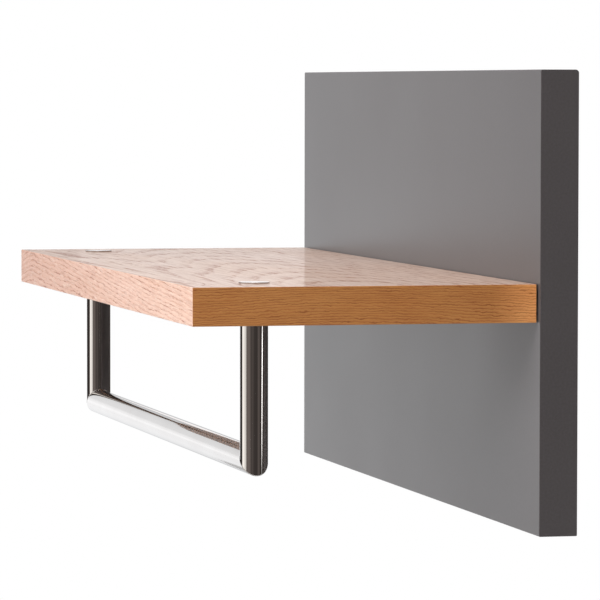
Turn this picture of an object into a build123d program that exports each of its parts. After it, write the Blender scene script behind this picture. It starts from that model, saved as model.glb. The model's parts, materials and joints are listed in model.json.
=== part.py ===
"""Bicycle wall rack: a wide lacquered panel on the wall, an oak shelf held on a concealed steel
bracket, and a mitred tube handle under the shelf that the bicycle hangs on.

Units are millimetres. The origin is the centre of the panel's rear face, which lies on the wall.
+X runs along the wall, +Y points into the wall and +Z is up.
"""

from build123d import *

import os

# ---------------------------------------------------------------- driving dimensions

# Back panel
PANEL_WIDTH = 1000
PANEL_HEIGHT = 460
PANEL_THICK = 39
PANEL_EDGE_R = 1.2  # long edges at the top front, bottom front and bottom rear
PANEL_TOP_REAR_R = 3.5
PANEL_END_R = 0.6  # edges round the two upright ends

# Shelf board, centred on the panel's height
SHELF_WIDTH = 986
SHELF_DEPTH = 346
SHELF_THICK = 38
SHELF_GAP = 1.5  # shadow gap between the shelf and the panel
SHELF_EDGE_R = 0.6

# Tube handle
TUBE_DIA = 28
TUBE_WALL = 2
LEG_X = 415
LEG_FROM_PANEL = 269  # leg axis from the panel's front face
BAR_BELOW_SHELF = 138  # bar axis from the shelf's underside
LEG_SEAT = 5  # how far the tube is let into the shelf
LEG_PLUG_LENGTH = 22

# Concealed bracket
PLATE_WIDTH = 900
PLATE_HEIGHT = 28
PLATE_THICK = 6
PLATE_CORNER_R = 3
ROD_DIA = 14
ROD_LENGTH = 220
ROD_TIP_CHAMFER = 1
ROD_SPIGOT_DIA = 10
ROD_PLACES = {"far_left": -390, "left": -195, "middle": 0, "right": 195, "far_right": 390}
ROD_BORE_EXTRA = 5  # room beyond the rod in its blind bore

# M8 socket head screws and washers, used for the plate and for the legs
M8_DIA = 8
M8_HEAD_DIA = 13
M8_HEAD = 8
M8_KEY = 6  # across the flats of the socket
M8_KEY_DEPTH = 4
M8_CLEARANCE = 9
WASHER_DIA = 16
WASHER_HOLE = 8.4
WASHER_THICK = 1.6

# Plate screws, put in from the panel's rear
PLATE_BOLT_LENGTH = 30
PLATE_BOLT_X = (-430, -290, -100, 100, 290, 430)
PLATE_BOLT_BORE = 20
PLATE_BOLT_SINK = 12

# Leg screws, put in from the shelf's top
LEG_BOLT_LENGTH = 35
LEG_BOLT_BORE = 22
LEG_BORE_FLOOR_Z = 0

# Caps over the leg screws
CAP_DIA = 31
CAP_SUNK = 1.5
CAP_PROUD = 1.4
CAP_EDGE_R = 0.15
CAP_SPIGOT = 6

# Set screws that lock the shelf on its rods, in threaded inserts
LOCK_FROM_SHELF_REAR = 60
LOCK_SCREW_DIA = 6
LOCK_SCREW_LENGTH = 10
LOCK_KEY = 3
LOCK_KEY_DEPTH = 3.5
LOCK_DIMPLE = 1
INSERT_DIA = 11
INSERT_LENGTH = 10.8
INSERT_FLANGE_DIA = 15
INSERT_FLANGE = 1

# Hanging rails in a pocket in the panel's rear
POCKET_WIDTH = 900
POCKET_BOTTOM = 108
POCKET_TOP = 192
POCKET_DEPTH = 14
POCKET_CORNER_R = 6
RAIL_THICK = 2.5
WALL_RAIL_LENGTH = 840
WALL_RAIL_BOTTOM = 114
WALL_RAIL_STEP = 148  # top of the wall rail's step
WALL_RAIL_TOP = 160  # top of its lip, which the panel's rail hangs on
WALL_RAIL_REACH = 8.5  # the lip's front face, from the wall
WALL_HOLE_DIA = 6.5
WALL_HOLE_Z = 130
WALL_HOLE_X = (-390, -130, 130, 390)
PANEL_RAIL_LENGTH = 860
PANEL_RAIL_TOP = 186
PANEL_LIP_BOTTOM = 148.4
PANEL_LIP_FACE = 5.8  # the panel rail lip's front face, from the wall
RAIL_SCREW_DIA = 4.5
RAIL_SCREW_LENGTH = 18
RAIL_SCREW_HEAD_DIA = 8.5
RAIL_SCREW_HEAD = 3
RAIL_SCREW_HEAD_R = 1.2
RAIL_SCREW_KEY = 3
RAIL_SCREW_Z = 174
RAIL_SCREW_X = (-405, -245, -85, 85, 245, 405)

# Fits
THREAD_CLEARANCE = 0.05  # on the radius, where a real thread or weld would fill the space
BORE_CLEARANCE = 0.1  # on the radius
POCKET_CLEARANCE = 0.25  # all round the plate in its pocket

# ---------------------------------------------------------------- derived places

PANEL_FRONT_Y = -PANEL_THICK
SHELF_REAR_Y = PANEL_FRONT_Y - SHELF_GAP
SHELF_MID_Y = SHELF_REAR_Y - SHELF_DEPTH / 2
SHELF_TOP_Z = SHELF_THICK / 2
SHELF_UNDER_Z = -SHELF_THICK / 2

TUBE_R = TUBE_DIA / 2
LEG_Y = PANEL_FRONT_Y - LEG_FROM_PANEL
LEG_TOP_Z = SHELF_UNDER_Z + LEG_SEAT
LEG_ENDS = {"left": -LEG_X, "right": LEG_X}
BAR_Z = SHELF_UNDER_Z - BAR_BELOW_SHELF

PLATE_SINK = PLATE_THICK - SHELF_GAP
LOCK_Y = SHELF_REAR_Y - LOCK_FROM_SHELF_REAR

CAP_SEAT_Z = SHELF_TOP_Z - CAP_SUNK
LEG_HEAD_Z = LEG_BORE_FLOOR_Z + WASHER_THICK
PLATE_BORE_FLOOR_Y = -PLATE_BOLT_SINK
PLATE_HEAD_Y = PLATE_BORE_FLOOR_Y + WASHER_THICK
POCKET_FLOOR_Y = -POCKET_DEPTH


def upward(x, y, z):
    """A plane at this point with its normal along +Z."""
    return Plane(origin=(x, y, z), x_dir=(1, 0, 0), z_dir=(0, 0, 1))


def downward(x, y, z):
    """A plane at this point with its normal along -Z."""
    return Plane(origin=(x, y, z), x_dir=(1, 0, 0), z_dir=(0, 0, -1))


def wallward(x, y, z):
    """A plane at this point with its normal along +Y, towards the wall."""
    return Plane(origin=(x, y, z), x_dir=(1, 0, 0), z_dir=(0, 1, 0))


def mitre(x):
    """The 45 degree cut where the leg at this x meets the cross bar, its normal towards the leg."""
    outward = 1 if x > 0 else -1
    return Plane(origin=(x, LEG_Y, BAR_Z), x_dir=(0, 1, 0), z_dir=(outward, 0, 1))


LEG_BOLT_SEATS = [upward(x, LEG_Y, LEG_HEAD_Z) for x in LEG_ENDS.values()]
LEG_WASHER_SEATS = [upward(x, LEG_Y, LEG_BORE_FLOOR_Z) for x in LEG_ENDS.values()]
PLATE_BOLT_SEATS = [wallward(x, PLATE_HEAD_Y, 0) for x in PLATE_BOLT_X]
PLATE_WASHER_SEATS = [wallward(x, PLATE_BORE_FLOOR_Y, 0) for x in PLATE_BOLT_X]
RAIL_SCREW_SEATS = [wallward(x, POCKET_FLOOR_Y + RAIL_THICK, RAIL_SCREW_Z) for x in RAIL_SCREW_X]


def socket_screws(seats, length):
    """M8 socket head screws, with each seat's plane under a head and its normal towards it."""
    with BuildPart() as screws:
        with BuildSketch(*seats):
            Circle(M8_HEAD_DIA / 2)
        extrude(amount=M8_HEAD)
        with BuildSketch(*seats):
            Circle(M8_DIA / 2)
        extrude(amount=-length)
        with BuildSketch(*[seat.offset(M8_HEAD) for seat in seats]):
            RegularPolygon(radius=M8_KEY / 2, side_count=6, major_radius=False)
        extrude(amount=-M8_KEY_DEPTH, mode=Mode.SUBTRACT)
    return screws.part


def washers(seats):
    """M8 washers lying on these planes."""
    with BuildPart() as rings:
        with BuildSketch(*seats):
            Circle(WASHER_DIA / 2)
            Circle(WASHER_HOLE / 2, mode=Mode.SUBTRACT)
        extrude(amount=WASHER_THICK)
    return rings.part


def rail(outline, length, holes, hole_dia):
    """A hanging rail: its outline in (Y, Z) carried along X, with holes through its flange."""
    with BuildPart() as bar:
        with BuildSketch(Plane.YZ.offset(-length / 2)):
            with BuildLine():
                Polyline(*outline, close=True)
            make_face()
        extrude(amount=length)
        with Locations(*holes):
            Hole(hole_dia / 2, depth=RAIL_THICK)
    return bar.part


def save(part, name):
    part.label = name
    export_step(part, f"parts/{name}.step")


os.makedirs("parts", exist_ok=True)

# ---------------------------------------------------------------- back panel

with BuildPart() as back_panel:
    # The side outline, where the sketch's x is the part's Y and its y is the part's Z
    with BuildSketch(Plane.YZ.offset(-PANEL_WIDTH / 2)) as side_outline:
        with Locations((-PANEL_THICK / 2, 0)):
            Rectangle(PANEL_THICK, PANEL_HEIGHT)
        fillet(side_outline.vertices().group_by(Axis.Y)[-1].sort_by(Axis.X)[-1], PANEL_TOP_REAR_R)
        fillet(side_outline.vertices().group_by(Axis.X)[0].sort_by(Axis.Y)[-1], PANEL_EDGE_R)
        fillet(side_outline.vertices().group_by(Axis.Y)[0], PANEL_EDGE_R)
    extrude(amount=PANEL_WIDTH)
    ends = back_panel.faces().filter_by(Axis.X)
    fillet(ends.edges(), PANEL_END_R)

    # Pocket in the front for the bracket's plate
    with BuildSketch(wallward(0, PANEL_FRONT_Y, 0)):
        RectangleRounded(
            PLATE_WIDTH + 2 * POCKET_CLEARANCE,
            PLATE_HEIGHT + 2 * POCKET_CLEARANCE,
            PLATE_CORNER_R + POCKET_CLEARANCE,
        )
    extrude(amount=PLATE_SINK, mode=Mode.SUBTRACT)

    # Counterbored holes for the plate's screws, from the rear
    with Locations(*[wallward(x, 0, 0) for x in PLATE_BOLT_X]):
        CounterBoreHole(M8_CLEARANCE / 2, PLATE_BOLT_BORE / 2, PLATE_BOLT_SINK, depth=PANEL_THICK)

    # Pocket in the rear for the hanging rails, and pilot holes for the rail's screws
    with BuildSketch(wallward(0, 0, (POCKET_BOTTOM + POCKET_TOP) / 2)):
        RectangleRounded(POCKET_WIDTH, POCKET_TOP - POCKET_BOTTOM, POCKET_CORNER_R)
    extrude(amount=-POCKET_DEPTH, mode=Mode.SUBTRACT)
    with Locations(*[wallward(x, POCKET_FLOOR_Y, RAIL_SCREW_Z) for x in RAIL_SCREW_X]):
        Hole(RAIL_SCREW_DIA / 2 + THREAD_CLEARANCE, depth=RAIL_SCREW_LENGTH)

save(back_panel.part, "back_panel")

# ---------------------------------------------------------------- shelf board

with BuildPart() as shelf_board:
    with BuildSketch(upward(0, SHELF_MID_Y, SHELF_UNDER_Z)):
        Rectangle(SHELF_WIDTH, SHELF_DEPTH)
    extrude(amount=SHELF_THICK)
    fillet(shelf_board.edges(), SHELF_EDGE_R)

    # Over each leg: a recess for the cap, a counterbore for the screw and a seat for the tube
    with Locations(*[upward(x, LEG_Y, SHELF_TOP_Z) for x in LEG_ENDS.values()]):
        Hole(CAP_DIA / 2 + BORE_CLEARANCE, depth=CAP_SUNK)
        CounterBoreHole(
            M8_CLEARANCE / 2,
            LEG_BOLT_BORE / 2,
            SHELF_TOP_Z - LEG_BORE_FLOOR_Z,
            depth=SHELF_THICK,
        )
    with Locations(*[downward(x, LEG_Y, SHELF_UNDER_Z) for x in LEG_ENDS.values()]):
        Hole(TUBE_R + BORE_CLEARANCE, depth=LEG_SEAT)

    # Bores for the bracket's rods, with the lock inserts' bores up into them
    with Locations(*[wallward(x, SHELF_REAR_Y, 0) for x in ROD_PLACES.values()]):
        Hole(ROD_DIA / 2 + BORE_CLEARANCE, depth=ROD_LENGTH + ROD_BORE_EXTRA)
    with Locations(*[downward(x, LOCK_Y, SHELF_UNDER_Z) for x in ROD_PLACES.values()]):
        CounterBoreHole(
            INSERT_DIA / 2 + THREAD_CLEARANCE,
            INSERT_FLANGE_DIA / 2 + BORE_CLEARANCE,
            INSERT_FLANGE,
            depth=SHELF_THICK / 2,
        )

save(shelf_board.part, "shelf_board")

# ---------------------------------------------------------------- concealed bracket

with BuildPart() as bracket_plate:
    with BuildSketch(wallward(0, SHELF_REAR_Y, 0)):
        RectangleRounded(PLATE_WIDTH, PLATE_HEIGHT, PLATE_CORNER_R)
        with Locations(*[(x, 0) for x in ROD_PLACES.values()]):
            Circle(ROD_SPIGOT_DIA / 2 + THREAD_CLEARANCE, mode=Mode.SUBTRACT)
        with Locations(*[(x, 0) for x in PLATE_BOLT_X]):
            Circle(M8_DIA / 2 + THREAD_CLEARANCE, mode=Mode.SUBTRACT)
    extrude(amount=PLATE_THICK)

save(bracket_plate.part, "bracket_plate")

for side, x in ROD_PLACES.items():
    with BuildPart() as bracket_rod:
        with BuildSketch(wallward(x, SHELF_REAR_Y, 0)):
            Circle(ROD_DIA / 2)
        extrude(amount=-ROD_LENGTH)
        chamfer(bracket_rod.edges().group_by(Axis.Y)[0], ROD_TIP_CHAMFER)
        with BuildSketch(wallward(x, SHELF_REAR_Y, 0)):
            Circle(ROD_SPIGOT_DIA / 2)
        extrude(amount=PLATE_THICK)
        # Dimple for the set screw
        with Locations(downward(x, LOCK_Y, -ROD_DIA / 2)):
            Hole(LOCK_SCREW_DIA / 2 + BORE_CLEARANCE, depth=LOCK_DIMPLE)
    save(bracket_rod.part, f"bracket_rod_{side}")

save(socket_screws(PLATE_BOLT_SEATS, PLATE_BOLT_LENGTH), "plate_bolts")
save(washers(PLATE_WASHER_SEATS), "plate_bolt_washers")

# ---------------------------------------------------------------- shelf locks

with BuildPart() as rod_lock_inserts:
    with BuildSketch(*[upward(x, LOCK_Y, SHELF_UNDER_Z) for x in ROD_PLACES.values()]):
        Circle(INSERT_DIA / 2)
        Circle(LOCK_SCREW_DIA / 2 + THREAD_CLEARANCE, mode=Mode.SUBTRACT)
    extrude(amount=INSERT_LENGTH)
    with BuildSketch(*[upward(x, LOCK_Y, SHELF_UNDER_Z) for x in ROD_PLACES.values()]):
        Circle(INSERT_FLANGE_DIA / 2)
        Circle(INSERT_DIA / 2, mode=Mode.SUBTRACT)
    extrude(amount=INSERT_FLANGE)

save(rod_lock_inserts.part, "rod_lock_inserts")

with BuildPart() as rod_lock_screws:
    tips = [downward(x, LOCK_Y, LOCK_DIMPLE - ROD_DIA / 2) for x in ROD_PLACES.values()]
    with BuildSketch(*tips):
        Circle(LOCK_SCREW_DIA / 2)
    extrude(amount=LOCK_SCREW_LENGTH)
    with BuildSketch(*[tip.offset(LOCK_SCREW_LENGTH) for tip in tips]):
        RegularPolygon(radius=LOCK_KEY / 2, side_count=6, major_radius=False)
    extrude(amount=-LOCK_KEY_DEPTH, mode=Mode.SUBTRACT)

save(rod_lock_screws.part, "rod_lock_screws")

# ---------------------------------------------------------------- tube handle

for side, x in LEG_ENDS.items():
    with BuildPart() as leg:
        with BuildSketch(upward(x, LEG_Y, LEG_TOP_Z)):
            Circle(TUBE_R)
            Circle(TUBE_R - TUBE_WALL, mode=Mode.SUBTRACT)
        extrude(amount=BAR_Z - TUBE_R - LEG_TOP_Z)
        split(bisect_by=mitre(x), keep=Keep.TOP)
    save(leg.part, f"leg_{side}")

    with BuildPart() as leg_plug:
        with BuildSketch(upward(x, LEG_Y, LEG_TOP_Z)):
            Circle(TUBE_R - TUBE_WALL - THREAD_CLEARANCE)
            Circle(M8_DIA / 2 + THREAD_CLEARANCE, mode=Mode.SUBTRACT)
        extrude(amount=-LEG_PLUG_LENGTH)
    save(leg_plug.part, f"leg_plug_{side}")

    with BuildPart() as cap:
        with BuildSketch(upward(x, LEG_Y, CAP_SEAT_Z)):
            Circle(CAP_DIA / 2)
        extrude(amount=CAP_SUNK + CAP_PROUD)
        fillet(cap.edges().group_by(Axis.Z)[-1], CAP_EDGE_R)
        with BuildSketch(upward(x, LEG_Y, CAP_SEAT_Z)):
            Circle(LEG_BOLT_BORE / 2 - BORE_CLEARANCE)
        extrude(amount=-CAP_SPIGOT)
    save(cap.part, f"cap_{side}")

with BuildPart() as cross_bar:
    bar_reach = LEG_X + TUBE_R
    with BuildSketch(Plane(origin=(-bar_reach, LEG_Y, BAR_Z), x_dir=(0, 1, 0), z_dir=(1, 0, 0))):
        Circle(TUBE_R)
        Circle(TUBE_R - TUBE_WALL, mode=Mode.SUBTRACT)
    extrude(amount=2 * bar_reach)
    for x in LEG_ENDS.values():
        split(bisect_by=mitre(x), keep=Keep.BOTTOM)

save(cross_bar.part, "cross_bar")

save(socket_screws(LEG_BOLT_SEATS, LEG_BOLT_LENGTH), "leg_bolts")
save(washers(LEG_WASHER_SEATS), "leg_bolt_washers")

# ---------------------------------------------------------------- hanging rails

# Flange on the wall, step away from it and lip upwards
wall_rail_outline = [
    (0, WALL_RAIL_BOTTOM),
    (0, WALL_RAIL_STEP),
    (RAIL_THICK - WALL_RAIL_REACH, WALL_RAIL_STEP),
    (RAIL_THICK - WALL_RAIL_REACH, WALL_RAIL_TOP),
    (-WALL_RAIL_REACH, WALL_RAIL_TOP),
    (-WALL_RAIL_REACH, WALL_RAIL_STEP - RAIL_THICK),
    (-RAIL_THICK, WALL_RAIL_STEP - RAIL_THICK),
    (-RAIL_THICK, WALL_RAIL_BOTTOM),
]
wall_holes = [wallward(x, 0, WALL_HOLE_Z) for x in WALL_HOLE_X]
save(rail(wall_rail_outline, WALL_RAIL_LENGTH, wall_holes, WALL_HOLE_DIA), "wall_rail")

# Flange on the pocket's floor, step towards the wall and lip down behind the wall rail's lip
panel_rail_outline = [
    (POCKET_FLOOR_Y, WALL_RAIL_TOP),
    (-PANEL_LIP_FACE, WALL_RAIL_TOP),
    (-PANEL_LIP_FACE, PANEL_LIP_BOTTOM),
    (RAIL_THICK - PANEL_LIP_FACE, PANEL_LIP_BOTTOM),
    (RAIL_THICK - PANEL_LIP_FACE, WALL_RAIL_TOP + RAIL_THICK),
    (POCKET_FLOOR_Y + RAIL_THICK, WALL_RAIL_TOP + RAIL_THICK),
    (POCKET_FLOOR_Y + RAIL_THICK, PANEL_RAIL_TOP),
    (POCKET_FLOOR_Y, PANEL_RAIL_TOP),
]
save(
    rail(
        panel_rail_outline,
        PANEL_RAIL_LENGTH,
        RAIL_SCREW_SEATS,
        RAIL_SCREW_DIA + 2 * BORE_CLEARANCE,
    ),
    "panel_rail",
)

with BuildPart() as panel_rail_screws:
    with BuildSketch(*RAIL_SCREW_SEATS):
        Circle(RAIL_SCREW_HEAD_DIA / 2)
    extrude(amount=RAIL_SCREW_HEAD)
    fillet(panel_rail_screws.edges().group_by(Axis.Y)[-1], RAIL_SCREW_HEAD_R)
    with BuildSketch(*RAIL_SCREW_SEATS):
        Circle(RAIL_SCREW_DIA / 2)
    extrude(amount=-RAIL_SCREW_LENGTH)
    with BuildSketch(*[seat.offset(RAIL_SCREW_HEAD) for seat in RAIL_SCREW_SEATS]):
        RegularPolygon(radius=RAIL_SCREW_KEY / 2, side_count=6, major_radius=False)
    extrude(amount=-RAIL_SCREW_HEAD / 2, mode=Mode.SUBTRACT)

save(panel_rail_screws.part, "panel_rail_screws")
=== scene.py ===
"""Looks for the bicycle wall rack: lacquered panel, oak shelf and polished tube handle.

Everything is in metres in the row frame: +X along the wall, +Y into the wall, +Z up, with the
origin at the centre of the panel's rear face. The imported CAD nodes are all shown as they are,
with procedural materials, and the tubes' sharp edges have a fine round.
"""

import json
import math

import bmesh
import bpy
from mathutils import Matrix, Vector


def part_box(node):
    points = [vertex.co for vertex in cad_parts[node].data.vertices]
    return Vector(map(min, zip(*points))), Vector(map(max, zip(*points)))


MM = 0.001

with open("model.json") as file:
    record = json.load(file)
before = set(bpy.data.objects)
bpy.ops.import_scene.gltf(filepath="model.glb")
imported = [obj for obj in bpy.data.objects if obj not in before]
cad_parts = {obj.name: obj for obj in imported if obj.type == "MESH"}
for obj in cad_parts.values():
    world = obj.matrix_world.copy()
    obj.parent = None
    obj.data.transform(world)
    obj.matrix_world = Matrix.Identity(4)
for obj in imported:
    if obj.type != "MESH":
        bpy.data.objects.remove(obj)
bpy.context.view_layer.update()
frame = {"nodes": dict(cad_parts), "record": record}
nodes = frame["nodes"]

shelf_low, shelf_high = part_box("shelf_board")


# ---------------------------------------------------------------- camera

CAMERA_AZIMUTH = math.radians(76.66)  # 0 looks along +Y, 90 along -X
CAMERA_ELEVATION = math.radians(2.85)
CAMERA_ROLL = math.radians(0.08)
CAMERA_DISTANCE = 4.668
CAMERA_LENS = 257.1
CAMERA_SENSOR = 36.0
CAMERA_REACH = 100.0
CAMERA_AIM = Vector((0.0, -0.1629, -0.0193))  # where the line of sight crosses the middle plane


def add_camera():
    """A long lens that looks along the wall from the near end, a little from above."""
    level = math.cos(CAMERA_ELEVATION)
    back = Vector((
        math.sin(CAMERA_AZIMUTH) * level,
        -math.cos(CAMERA_AZIMUTH) * level,
        math.sin(CAMERA_ELEVATION),
    ))
    data = bpy.data.cameras.new("camera")
    data.lens = CAMERA_LENS
    data.sensor_width = CAMERA_SENSOR
    data.clip_end = CAMERA_REACH
    camera = bpy.data.objects.new("camera", data)
    turn = (-back).to_track_quat("-Z", "Y").to_matrix() @ Matrix.Rotation(CAMERA_ROLL, 3, "Z")
    camera.matrix_world = Matrix.Translation(CAMERA_AIM + back * CAMERA_DISTANCE) @ turn.to_4x4()
    bpy.context.scene.collection.objects.link(camera)
    bpy.context.scene.camera = camera


# ---------------------------------------------------------------- shader helpers


def linear(red, green, blue):
    """An sRGB colour in 0 to 255 as linear RGBA."""
    def channel(value):
        value /= 255
        return value / 12.92 if value <= 0.04045 else ((value + 0.055) / 1.055) ** 2.4

    return (channel(red), channel(green), channel(blue), 1.0)


# Noise is seldom outside the span, and mostly inside the core
NOISE_SPAN = (0.3, 0.7)
NOISE_CORE = (0.35, 0.65)


class Shader:
    """A node tree with short calls for adding to it. An input is a value or another node's socket."""

    def __init__(self, tree):
        self.tree = tree

    def add(self, kind, inputs=None, **properties):
        node = self.tree.nodes.new(kind)
        for name, value in properties.items():
            setattr(node, name, value)
        for name, value in (inputs or {}).items():
            if isinstance(value, bpy.types.NodeSocket):
                self.tree.links.new(value, node.inputs[name])
            else:
                node.inputs[name].default_value = value
        return node

    def math(self, operation, a, b=0.0, c=0.0):
        return self.add("ShaderNodeMath", {0: a, 1: b, 2: c}, operation=operation).outputs[0]

    def part(self, value, share):
        """A factor that acts on this share only: 1 where the value is 1, and 1 - share where it is 0."""
        return self.math("MULTIPLY_ADD", value, share, 1 - share)

    def without(self, value, share):
        """A factor that takes this share away where the value is 1."""
        return self.math("MULTIPLY_ADD", value, -share, 1.0)

    def mix(self, factor, a, b, blend="MIX"):
        node = self.add("ShaderNodeMix", {0: factor, 6: a, 7: b}, data_type="RGBA", blend_type=blend)
        return node.outputs[2]

    def tint(self, factor, colour, tint):
        """A colour multiplied by a tint, as far as the factor says."""
        return self.mix(factor, colour, self.mix(1.0, colour, tint, "MULTIPLY"))

    def blend(self, factor, a, b):
        """A value between two others."""
        return self.add("ShaderNodeMix", {0: factor, 2: a, 3: b}, data_type="FLOAT").outputs[0]

    def ramp(self, factor, stops, interpolation="LINEAR"):
        """Stops are (place, grey or RGBA)."""
        node = self.add("ShaderNodeValToRGB", {0: factor})
        band = node.color_ramp
        band.interpolation = interpolation
        while len(band.elements) < len(stops):
            band.elements.new(1.0)
        for element, (place, colour) in zip(band.elements, stops):
            element.position = place
            element.color = colour if isinstance(colour, tuple) else (colour, colour, colour, 1.0)
        return node.outputs[0]

    def spread(self, value, low, high, to_low=0.0, to_high=1.0):
        """Value carried from one range to another, and held inside it."""
        inputs = {0: value, 1: low, 2: high, 3: to_low, 4: to_high}
        return self.add("ShaderNodeMapRange", inputs, clamp=True).outputs[0]

    def vector(self, x, y, z):
        return self.add("ShaderNodeCombineXYZ", {0: x, 1: y, 2: z}).outputs[0]

    def stretch(self, vector, x, y, z):
        return self.add("ShaderNodeVectorMath", {0: vector, 1: (x, y, z)}, operation="MULTIPLY").outputs[0]

    def noise(self, vector, scale=1.0, detail=2.0, roughness=0.5):
        inputs = {"Vector": vector, "Scale": scale, "Detail": detail, "Roughness": roughness}
        return self.add("ShaderNodeTexNoise", inputs).outputs[0]

    def bump(self, height, strength, distance, normal=None):
        inputs = {"Height": height, "Strength": strength, "Distance": distance}
        if normal is not None:
            inputs["Normal"] = normal
        return self.add("ShaderNodeBump", inputs).outputs[0]


def new_material(name, **fixed):
    """A Principled material with these fixed inputs, its node and its Shader."""
    material = bpy.data.materials.new(name)
    material.use_nodes = True
    surface = material.node_tree.nodes["Principled BSDF"]
    for label, value in fixed.items():
        surface.inputs[label.replace("_", " ")].default_value = value
    return material, surface, Shader(material.node_tree)


def join(shader, surface, **sockets):
    """Link sockets to a surface's inputs of these names."""
    for label, socket in sockets.items():
        shader.tree.links.new(socket, surface.inputs[label.replace("_", " ")])


# ---------------------------------------------------------------- oak

RING_SPACING = 5.2  # mm
END_SPACING = RING_SPACING * 0.55  # mm, where the board's ends cut the rings
FACE_CURVE = 2.838  # per m, how much the growth rings curve across the board's faces and edges
END_CURVE = 0.4  # per m, and across its ends
FACE_FALL = 0.16  # share of the run-out that shows in the faces and ends
GRAIN_TURN_X = -0.42  # m, where the grain's run-out turns back near the far end
GRAIN_TURN_SIZE = 0.02  # m, how softly it turns
RUNOUT = 0.063  # how fast the rings fall towards +X
RUNOUT_BEYOND = 0.16  # how fast they fall the other way beyond the turn
FAR_TILT = 0.6  # how steeply the rings stand behind the front edge at the far end
TILT_DEPTH = 0.09  # m, how far behind the front edge they do
TILT_NONE_X = 0.45  # m, where they lie flat
TILT_FULL_X = -0.45  # m, where the tilt is full

# Unevenness of the rings, coarse to fine: stretch per m, height in mm on the faces and on the sides
WANDER = ((2.0, 3.5, 16.0), 11.0, 26.0)
RIPPLE = ((9.0, 16.0, 60.0), 2.0, 5.0)
JAG = ((75.0, 140.0, 260.0), 1.8, 3.2)

# Small knots in the top: place in X and Y, half length and half width, and height of their swelling in mm
KNOTS = [
    ((-0.067, -0.341), (0.050, 0.012), 9.0),
    ((0.393, -0.364), (0.045, 0.012), 8.0),
    ((-0.27, -0.11), (0.06, 0.016), 8.0),
]

# Early wood through one ring: dark and porous, then it fades into paler late wood
EARLY_WOOD = [(0.0, 0.15), (0.1, 1.0), (0.28, 0.6), (0.5, 0.12), (0.95, 0.0)]
EARLY_ON_FACES = 0.3
EARLY_ON_EDGES = 0.5
EARLY_ON_ENDS = 0.85

# Pores: frequency along X and along Y per m and through the rings per mm, and the noise that shows
STREAK = (16.0, 300.0, 0.6, 0.46, 0.57)
LONG_STREAK = (7.0, 260.0, 0.2, 0.45, 0.56)
DASH = (64.0, 560.0, 1.0, 0.47, 0.55)
FLECK = (50.0, 560.0, 0.85, 0.56, 0.64)
END_DASH = (60.0, 55.0, 2.4, 0.5, 0.62)
STREAKS_IN_EDGES = 0.75  # share of the edges' pores that lies in streaks
DASHES_IN_FACES = 0.4  # share of the faces' pores that is broken into dashes
PORES_IN_RINGS = 0.7  # share of the pores that lies in the early wood
END_DASHES = 0.9
PORE_STRENGTH = 0.95
FLECK_STRENGTH = 0.4
PLAIN_UNDERSIDE = 0.7  # share of the rings and pores that is missing from the underside

# Each from one side of the board to the other: low to high noise, far to near end as a painted light
# falloff that pales the edges towards the near end, front to wall as painted light that pales the ends near
# the wall
FACE_WOOD = (linear(211, 190, 178), linear(224, 204, 194))
EDGE_WOOD_PAINTED_FALLOFF = (linear(234, 187, 164), linear(245, 211, 193))
END_WOOD_PAINTED_WALL_LIGHT = (linear(201, 141, 77), linear(255, 186, 115))
WALL_PAINTED_LIGHT_DEPTH = 0.045  # m, the part of the ends that is paler near the wall: painted light

# Tints that the wood is multiplied by; a pair is for the faces and ends, and for the edges
BROAD_TINT = linear(246, 238, 230)
EARLY_TINT = (linear(222, 190, 168), linear(228, 184, 150))
PORE_TINT = (linear(172, 122, 92), linear(176, 108, 68))
# Painted shade: the underside is darkened
UNDERSIDE_PAINTED_SHADE = linear(214, 190, 172)
FINE_TINT = linear(225, 208, 196)
FINE_STRENGTH = 0.3
FLECK_COLOUR = linear(248, 230, 216)

# The normal's share along an axis where a side of the board begins to count as that side, and does so fully
SIDE_FROM = 0.45
SIDE_FULL = 0.75

BROAD_STRETCH = (3.0, 14.0, 30.0)  # per m
FINE_STRETCH = (60.0, 900.0, 900.0)
OAK_ROUGH = (0.42, 0.62)
PORES_IN_ROUGH = 0.5
FINE_IN_HEIGHT = 0.25
OAK_BUMP = 0.25
OAK_BUMP_HEIGHT = 0.12 * MM


def swelling(s, x, y, place, size):
    """A smooth bump, 1 high in the middle."""
    across = s.math("DIVIDE", s.math("SUBTRACT", x, place[0]), size[0])
    along = s.math("DIVIDE", s.math("SUBTRACT", y, place[1]), size[1])
    apart = s.math("ADD", s.math("MULTIPLY", across, across), s.math("MULTIPLY", along, along))
    return s.math("EXPONENT", s.math("MULTIPLY", apart, -1.0))


def uneven(s, place, side, stretch, on_faces, on_sides):
    """Noise about zero, of one height on the board's faces and another on its edges and ends."""
    noise = s.noise(s.stretch(place, *stretch))
    return s.math("MULTIPLY", s.math("SUBTRACT", noise, 0.5), s.blend(side, on_faces, on_sides))


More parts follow.
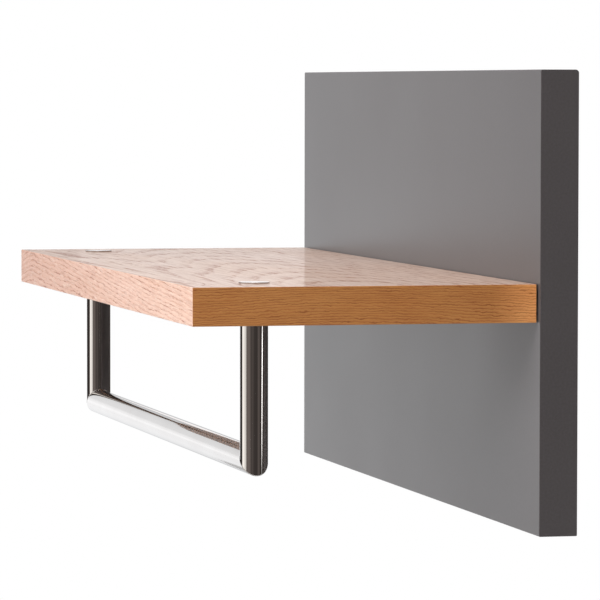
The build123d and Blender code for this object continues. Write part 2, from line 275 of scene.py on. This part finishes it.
def ring_depth(s, place, x, y, z, edge, end):
    """Depth in the growth rings, in mm, without and with their jaggedness."""
    from_turn = s.math("SUBTRACT", x, GRAIN_TURN_X)
    bend = s.math("SQRT", s.math("ADD", s.math("MULTIPLY", from_turn, from_turn), GRAIN_TURN_SIZE ** 2))
    fall = s.math("SUBTRACT", s.math("MULTIPLY", bend, (RUNOUT + RUNOUT_BEYOND) / 2),
                  s.math("MULTIPLY", from_turn, (RUNOUT_BEYOND - RUNOUT) / 2))
    fall = s.math("MULTIPLY", fall, s.blend(edge, FACE_FALL, 1.0))
    off_middle = s.math("SUBTRACT", y, (shelf_low.y + shelf_high.y) / 2)
    curve = s.blend(end, FACE_CURVE / 2, END_CURVE / 2)
    sag = s.math("MULTIPLY", s.math("MULTIPLY", off_middle, off_middle), curve)
    from_front = s.math("MINIMUM", s.math("SUBTRACT", y, shelf_low.y), TILT_DEPTH)
    tilt = s.math("MULTIPLY", from_front, s.spread(x, TILT_NONE_X, TILT_FULL_X, 0.0, FAR_TILT))
    depth = s.math("ADD", s.math("ADD", z, fall), s.math("ADD", sag, tilt))
    depth = s.math("MULTIPLY", depth, 1 / MM)
    side = s.math("MAXIMUM", edge, end)
    for unevenness in (WANDER, RIPPLE):
        depth = s.math("ADD", depth, uneven(s, place, side, *unevenness))
    for middle, size, height in KNOTS:
        depth = s.math("ADD", depth, s.math("MULTIPLY", swelling(s, x, y, middle, size), height))
    return depth, s.math("ADD", depth, uneven(s, place, side, *JAG))


def grain(s, x, y, layer, along_x, along_y, across, low, high):
    """Stretched noise that follows the rings, from 0 at low to 1 at high."""
    stretched = s.vector(s.math("MULTIPLY", x, along_x), s.math("MULTIPLY", y, along_y),
                         s.math("MULTIPLY", layer, across))
    return s.spread(s.noise(stretched, detail=3.0, roughness=0.6), low, high)


def side_masks(s):
    """Masks that are 1 on the board's ends, on its underside and on its long edges."""
    facing = s.add("ShaderNodeSeparateXYZ", {0: s.add("ShaderNodeNewGeometry").outputs["True Normal"]})
    end = s.spread(s.math("ABSOLUTE", facing.outputs[0]), SIDE_FROM, SIDE_FULL)
    under = s.spread(facing.outputs[2], -SIDE_FROM, -SIDE_FULL)
    edge = s.spread(s.math("ABSOLUTE", facing.outputs[1]), SIDE_FROM, SIDE_FULL)
    return end, under, edge


def oak():
    """Oak with growth rings, pores, knots and a satin lacquer, and painted light and shade in its colour.
    """
    material, surface, s = new_material(
        "oak", Roughness=0.5, IOR=1.6, Coat_Weight=0.25, Coat_Roughness=0.08, Coat_IOR=1.5)
    place = s.add("ShaderNodeTexCoord").outputs["Object"]
    axes = s.add("ShaderNodeSeparateXYZ", {0: place})
    x, y, z = axes.outputs[0], axes.outputs[1], axes.outputs[2]
    end, under, edge = side_masks(s)
    smooth_depth, depth = ring_depth(s, place, x, y, z, edge, end)

    rings = s.math("FRACT", s.math("DIVIDE", depth, s.blend(end, RING_SPACING, END_SPACING)))
    early = s.math("MULTIPLY", s.ramp(rings, EARLY_WOOD), s.without(under, PLAIN_UNDERSIDE))

    # Pores: long streaks in the faces, streaks broken into dashes in the edges, short dashes in the ends
    streak = grain(s, x, y, depth, *STREAK)
    long_streak = grain(s, x, y, smooth_depth, *LONG_STREAK)
    dash = grain(s, x, y, depth, *DASH)
    fleck = s.math("MULTIPLY", edge, grain(s, x, y, depth, *FLECK))
    end_dash = s.math("MULTIPLY", grain(s, x, y, depth, *END_DASH), END_DASHES)
    edge_pores = s.math("MULTIPLY", dash, s.part(streak, STREAKS_IN_EDGES))
    face_pores = s.math("MULTIPLY", long_streak, s.part(dash, DASHES_IN_FACES))
    pores = s.blend(edge, s.blend(end, face_pores, end_dash), edge_pores)
    pores = s.math("MULTIPLY", pores, s.part(early, PORES_IN_RINGS))
    pores = s.math("MULTIPLY", pores, s.without(under, PLAIN_UNDERSIDE))

    broad = s.noise(s.stretch(place, *BROAD_STRETCH), detail=3.0)
    fine = s.noise(s.stretch(place, *FINE_STRETCH), detail=4.0, roughness=0.65)

    # Painted light: the long edges grow paler towards the near end, a painted light falloff
    near_end_painted_light = s.spread(x, shelf_low.x, shelf_high.x)
    # Painted light: the ends grow paler near the wall
    wall_painted_light = s.spread(y, shelf_high.y - WALL_PAINTED_LIGHT_DEPTH, shelf_high.y)
    face_wood = s.mix(broad, *FACE_WOOD)
    edge_wood_painted_falloff = s.mix(near_end_painted_light, *EDGE_WOOD_PAINTED_FALLOFF)
    end_wood_painted_wall_light = s.mix(wall_painted_light, *END_WOOD_PAINTED_WALL_LIGHT)
    # The sides differ partly as oak's end grain does and partly as painted light and shade: pale pinkish
    # long edges as a painted highlight, deeper orange ends as painted shade
    wood = s.mix(edge, s.mix(end, face_wood, end_wood_painted_wall_light), edge_wood_painted_falloff)
    early_share = s.blend(end, s.blend(edge, EARLY_ON_FACES, EARLY_ON_EDGES), EARLY_ON_ENDS)
    wood = s.tint(s.spread(broad, *NOISE_CORE), wood, BROAD_TINT)
    wood = s.tint(s.math("MULTIPLY", early, early_share), wood, s.mix(edge, *EARLY_TINT))
    wood = s.tint(s.math("MULTIPLY", pores, PORE_STRENGTH), wood, s.mix(edge, *PORE_TINT))
    # Painted shade darkens the underside
    wood = s.tint(under, wood, UNDERSIDE_PAINTED_SHADE)
    wood = s.mix(s.math("MULTIPLY", fleck, FLECK_STRENGTH), wood, FLECK_COLOUR)
    wood = s.tint(s.spread(fine, *NOISE_SPAN, to_high=FINE_STRENGTH), wood, FINE_TINT)
    worn = s.math("ADD", s.math("MULTIPLY", pores, PORES_IN_ROUGH), fine)
    rough = s.spread(worn, NOISE_SPAN[0], 1.0, *OAK_ROUGH)
    height = s.math("SUBTRACT", s.math("MULTIPLY", fine, FINE_IN_HEIGHT), pores)
    normal = s.bump(height, OAK_BUMP, OAK_BUMP_HEIGHT)
    join(s, surface, Base_Color=wood, Roughness=rough, Normal=normal)
    return material


# ---------------------------------------------------------------- lacquer

LACQUER_GREY = (linear(78, 74, 75), linear(85, 81, 82))
MOTTLE_GREY = linear(92, 89, 90)
MOTTLE_SHARE = 0.5
MOTTLE_ROUGH = 0.04
LACQUER_ROUGH = (0.28, 0.30)
PEEL_BUMP = 0.1
PEEL_HEIGHT = 0.12 * MM
SPECKLE_BUMP = 0.06
SPECKLE_HEIGHT = 0.05 * MM


def lacquer():
    """Matt grey lacquer: cloudy, finely mottled and with a slight orange peel."""
    material, surface, s = new_material("grey_lacquer", Roughness=0.3, IOR=1.5)
    place = s.add("ShaderNodeTexCoord").outputs["Object"]
    mottle = s.noise(place, scale=420.0, detail=3.0, roughness=0.6)
    cloud = s.noise(place, scale=7.0, detail=3.0)
    peel = s.noise(place, scale=260.0)
    speckle = s.noise(place, scale=1300.0, roughness=0.6)
    base = s.mix(cloud, *LACQUER_GREY)
    base = s.mix(s.spread(mottle, *NOISE_CORE, to_high=MOTTLE_SHARE), base, MOTTLE_GREY)
    rough = s.spread(cloud, *NOISE_SPAN, *LACQUER_ROUGH)
    rough = s.math("ADD", rough, s.math("MULTIPLY", mottle, MOTTLE_ROUGH))
    normal = s.bump(speckle, SPECKLE_BUMP, SPECKLE_HEIGHT, s.bump(peel, PEEL_BUMP, PEEL_HEIGHT))
    join(s, surface, Base_Color=base, Roughness=rough, Normal=normal)
    return material


# ---------------------------------------------------------------- metals

TOOL_LINES = (900.0, 900.0, 900.0)  # per m
ROLLED_LINES = (8.0, 900.0, 900.0)  # per m, long in X
LINE_HEIGHT = 0.05 * MM


def metal(name, dark, light, rough, wear, bump, lines_stretch=TOOL_LINES):
    """A metal with blotches in its colour, fine tool lines and uneven roughness."""
    material, surface, s = new_material(name, Metallic=1.0)
    place = s.add("ShaderNodeTexCoord").outputs["Object"]
    patches = s.noise(place, scale=18.0, detail=4.0, roughness=0.6)
    lines = s.noise(s.stretch(place, *lines_stretch), detail=3.0, roughness=0.6)
    colour = s.mix(s.spread(patches, *NOISE_SPAN), dark, light)
    worn = s.math("ADD", s.math("MULTIPLY", patches, wear), s.math("MULTIPLY", lines, wear))
    join(s, surface, Base_Color=colour, Roughness=s.math("ADD", worn, rough - wear),
         Normal=s.bump(lines, bump, LINE_HEIGHT))
    return material


# ---------------------------------------------------------------- lights and stage

FLOOR_Z = -0.9
FLOOR_RADIUS = 3.6
FLOOR_SIDES = 96
FLOOR_GREY = 0.6
FLOOR_GLOW = 0.06
WHITE = (1.0, 1.0, 1.0, 1.0)


def add_card(name, place, aim, width, height, shade, in_reflections=True):
    """A glowing card that lights the rack and shows in its polish, but not to the camera.

    Shade takes the card's Shader and two sockets that run from 0 to 1, to the right and up as
    the rack sees the card, and returns the card's radiance.
    """
    mesh = bpy.data.meshes.new(name)
    w, h = width / 2, height / 2
    mesh.from_pydata([(-w, -h, 0), (w, -h, 0), (w, h, 0), (-w, h, 0)], [], [(0, 1, 2, 3)])
    card = bpy.data.objects.new(name, mesh)
    card.location = place
    card.rotation_mode = "QUATERNION"
    card.rotation_quaternion = (Vector(aim) - Vector(place)).to_track_quat("Z", "Y")
    card.visible_camera = False
    card.visible_glossy = in_reflections
    bpy.context.scene.collection.objects.link(card)
    material = bpy.data.materials.new(name)
    material.use_nodes = True
    s = Shader(material.node_tree)
    s.tree.nodes.remove(s.tree.nodes["Principled BSDF"])
    axes = s.add("ShaderNodeSeparateXYZ", {0: s.add("ShaderNodeTexCoord").outputs["Generated"]})
    glow = s.add("ShaderNodeEmission", {0: shade(s, axes.outputs[0], axes.outputs[1]), 1: 1.0})
    behind = s.add("ShaderNodeNewGeometry").outputs["Backfacing"]
    one_sided = s.add("ShaderNodeMixShader", {0: behind, 1: glow.outputs[0]})
    s.tree.links.new(one_sided.outputs[0], s.tree.nodes["Material Output"].inputs[0])
    mesh.materials.append(material)


def even(strength):
    """The shade of a white card that is the same all over."""
    return lambda s, right, up: (strength, strength, strength, 1.0)


def banded(strength, across, upward, tint=(1.0, 1.0, 1.0)):
    """The shade of a card from a ramp across it and a ramp up it."""
    colour = tuple(strength * channel for channel in tint) + (1.0,)

    def shade(s, right, up):
        level = s.math("MULTIPLY", s.ramp(right, across, "EASE"), s.ramp(up, upward, "EASE"))
        return s.mix(1.0, s.vector(level, level, level), colour, "MULTIPLY")

    return shade


def add_floor():
    """A pale round floor under the rack, as white as the world to the camera, and clear from below."""
    mesh = bpy.data.meshes.new("floor")
    build = bmesh.new()
    bmesh.ops.create_circle(build, cap_ends=True, segments=FLOOR_SIDES, radius=FLOOR_RADIUS)
    bmesh.ops.translate(build, verts=build.verts, vec=(0.0, 0.0, FLOOR_Z))
    build.to_mesh(mesh)
    build.free()
    floor = bpy.data.objects.new("floor", mesh)
    bpy.context.scene.collection.objects.link(floor)
    material, surface, s = new_material("floor", Roughness=0.9, Emission_Strength=FLOOR_GLOW)
    surface.inputs["Base Color"].default_value = (FLOOR_GREY, FLOOR_GREY, FLOOR_GREY, 1.0)
    surface.inputs["Emission Color"].default_value = WHITE
    white = s.add("ShaderNodeEmission", {0: WHITE, 1: 1.0})
    seen = s.add("ShaderNodeLightPath").outputs["Is Camera Ray"]
    both = s.add("ShaderNodeMixShader", {0: seen, 1: surface.outputs[0], 2: white.outputs[0]})
    below = s.add("ShaderNodeNewGeometry").outputs["Backfacing"]
    clear = s.add("ShaderNodeBsdfTransparent")
    shown = s.add("ShaderNodeMixShader", {0: below, 1: both.outputs[0], 2: clear.outputs[0]})
    s.tree.links.new(shown.outputs[0], s.tree.nodes["Material Output"].inputs[0])
    mesh.materials.append(material)


# The studio beyond the cards, as (degrees from +X towards -Y, radiance): dim, with a few paler uprights
STUDIO = [
    (-180, 0.40), (-160, 0.40), (-145, 0.055), (-68, 0.055), (-39, 0.05), (-30, 0.15), (-21, 0.10),
    (-12, 0.05), (12, 0.06), (21, 0.11), (29, 0.08), (37, 0.09), (46, 0.16), (55, 0.20), (64, 0.15),
    (73, 0.20), (90, 0.20), (112, 0.06), (138, 0.03), (170, 0.03), (174, 0.40), (180, 0.40),
]
STUDIO_TINT = (1.16, 0.98, 0.91, 1.0)


def add_world():
    """White where the camera sees past the object, and a dim studio everywhere else."""
    world = bpy.data.worlds.new("studio")
    world.use_nodes = True
    bpy.context.scene.world = world
    s = Shader(world.node_tree)
    axes = s.add("ShaderNodeSeparateXYZ", {0: s.add("ShaderNodeTexCoord").outputs["Generated"]})
    turn = s.math("ARCTAN2", s.math("MULTIPLY", axes.outputs[1], -1.0), axes.outputs[0])
    stops = [(0.5 + degrees / 360, level) for degrees, level in STUDIO]
    level = s.ramp(s.spread(turn, -math.pi, math.pi), stops)
    dim = s.tree.nodes["Background"]
    s.tree.links.new(s.mix(1.0, level, STUDIO_TINT, "MULTIPLY"), dim.inputs[0])
    bright = s.add("ShaderNodeBackground", {0: WHITE, 1: 1.0})
    seen = s.add("ShaderNodeLightPath").outputs["Is Camera Ray"]
    both = s.add("ShaderNodeMixShader", {0: seen, 1: dim.outputs[0], 2: bright.outputs[0]})
    s.tree.links.new(both.outputs[0], s.tree.nodes["World Output"].inputs[0])


# Ramps across or up a card, as (place, level)
LEVEL = [(0.0, 1.0), (1.0, 1.0)]
SOFT_ENDS = [(0.0, 0.0), (0.3, 1.0), (0.7, 1.0), (1.0, 0.0)]
SOFTBOX_ACROSS = [
    (0.0, 0.5), (0.15, 0.56), (0.5, 0.72), (0.68, 0.87), (0.8, 0.98), (0.9, 1.0), (0.96, 0.75), (1.0, 0.3),
]
BACKDROP_ACROSS = [
    (0.0, 1.08), (0.12, 1.05), (0.22, 1.05), (0.3, 1.0), (0.42, 0.87), (0.52, 0.64), (0.66, 0.56),
    (0.85, 0.5), (1.0, 0.3),
]
BACKDROP_UPWARD = [
    (0.0, 0.88), (0.14, 0.94), (0.26, 0.97), (0.34, 1.07), (0.42, 0.97), (0.5, 0.83), (0.75, 0.74),
    (1.0, 0.56),
]
HIGH_UPWARD = [(0.0, 0.85), (0.12, 0.96), (0.8, 1.0), (1.0, 0.7)]

CARDS = {
    # Long softbox in front of the rack, low enough to show as the pale stripe down each leg. It
    # stands askew, with its far end nearer to the rack.
    "front_softbox": dict(
        place=(0.328, -3.898, -0.2), aim=(1.894, -2.654, -0.2), width=4.09, height=1.7,
        shade=banded(1.6, SOFTBOX_ACROSS, LEVEL, (1.0, 0.97, 0.93))),
    # Key light above it, kept out of the reflections
    "front_key": dict(
        place=(1.3, -2.8, 1.4), aim=(0.1, -0.2, 0.0), width=1.8, height=1.2, shade=even(11.1),
        in_reflections=False),
    # Lit paper behind the rack
    "backdrop": dict(
        place=(-2.8, 0.08, 0.1), aim=(0.0, 0.08, 0.1), width=2.54, height=2.4,
        shade=banded(1.16, BACKDROP_ACROSS, BACKDROP_UPWARD, (0.99, 1.0, 1.02))),
    # A paler sheet in front of it, that shows in the shelf's top and in the caps
    "backdrop_high": dict(
        place=(-2.6, 0.62, 0.44), aim=(0.0, 0.62, 0.44), width=1.1, height=0.68,
        shade=banded(1.15, LEVEL, HIGH_UPWARD, (1.03, 1.0, 1.0))),
    # Large soft light overhead
    "overhead": dict(place=(0.2, -0.6, 2.6), aim=(0.2, -0.5, 0.0), width=2.6, height=2.0, shade=even(3.3)),
    # High fill from behind the camera
    "near_fill": dict(place=(3.6, -1.6, 2.6), aim=(0.4, -0.2, 0.0), width=2.0, height=1.6, shade=even(5.7)),
    # Narrow light on the wall's side, beyond the near end
    "side_strip": dict(
        place=(1.72, 1.84, -0.26), aim=(0.42, -0.31, -0.26), width=0.24, height=0.32,
        shade=banded(5.0, SOFT_ENDS, SOFT_ENDS)),
}


# ---------------------------------------------------------------- edges

EASED = ["leg_left", "leg_right", "cross_bar"]
EDGE_WELD = 0.002 * MM
EDGE_ROUND = 0.9 * MM
EDGE_STEPS = 2
EDGE_ANGLE = math.radians(30)


def ease_edges(node):
    """Break a node's sharp edges with a fine round, as deburring does."""
    weld = node.modifiers.new("weld", "WELD")
    weld.merge_threshold = EDGE_WELD
    bevel = node.modifiers.new("eased edges", "BEVEL")
    bevel.width = EDGE_ROUND
    bevel.segments = EDGE_STEPS
    bevel.limit_method = "ANGLE"
    bevel.angle_limit = EDGE_ANGLE
    node.modifiers.new("shading", "WEIGHTED_NORMAL")


# ---------------------------------------------------------------- build

add_camera()
add_world()
add_floor()
for card_name, settings in CARDS.items():
    add_card(card_name, **settings)

for name in EASED:
    ease_edges(nodes[name])

BY_SLOT = {
    "grey_lacquer": lacquer(),
    "oak": oak(),
    "polished_steel": metal(
        "polished_steel", linear(199, 195, 192), linear(206, 203, 200), rough=0.05, wear=0.01, bump=0.0015),
    "dark_steel": metal(
        "dark_steel", (0.05, 0.05, 0.052, 1), (0.085, 0.083, 0.08, 1), rough=0.42, wear=0.12, bump=0.1),
    "zinc_steel": metal(
        "zinc_steel", linear(168, 170, 176), linear(196, 192, 178), rough=0.3, wear=0.1, bump=0.05),
    "insert_brass": metal(
        "insert_brass", linear(176, 140, 84), linear(204, 170, 108), rough=0.3, wear=0.08, bump=0.05),
    "rail_aluminium": metal(
        "rail_aluminium", linear(186, 187, 190), linear(204, 205, 207), rough=0.34, wear=0.08, bump=0.08,
        lines_stretch=ROLLED_LINES),
}
slots = {part["node"]: part["material_slot"] for part in frame["record"]["subparts"]}
for name, node in nodes.items():
    node.data.materials.clear()
    node.data.materials.append(BY_SLOT[slots[name]])

view = bpy.context.scene.view_settings
view.view_transform = "Standard"
view.look = "None"
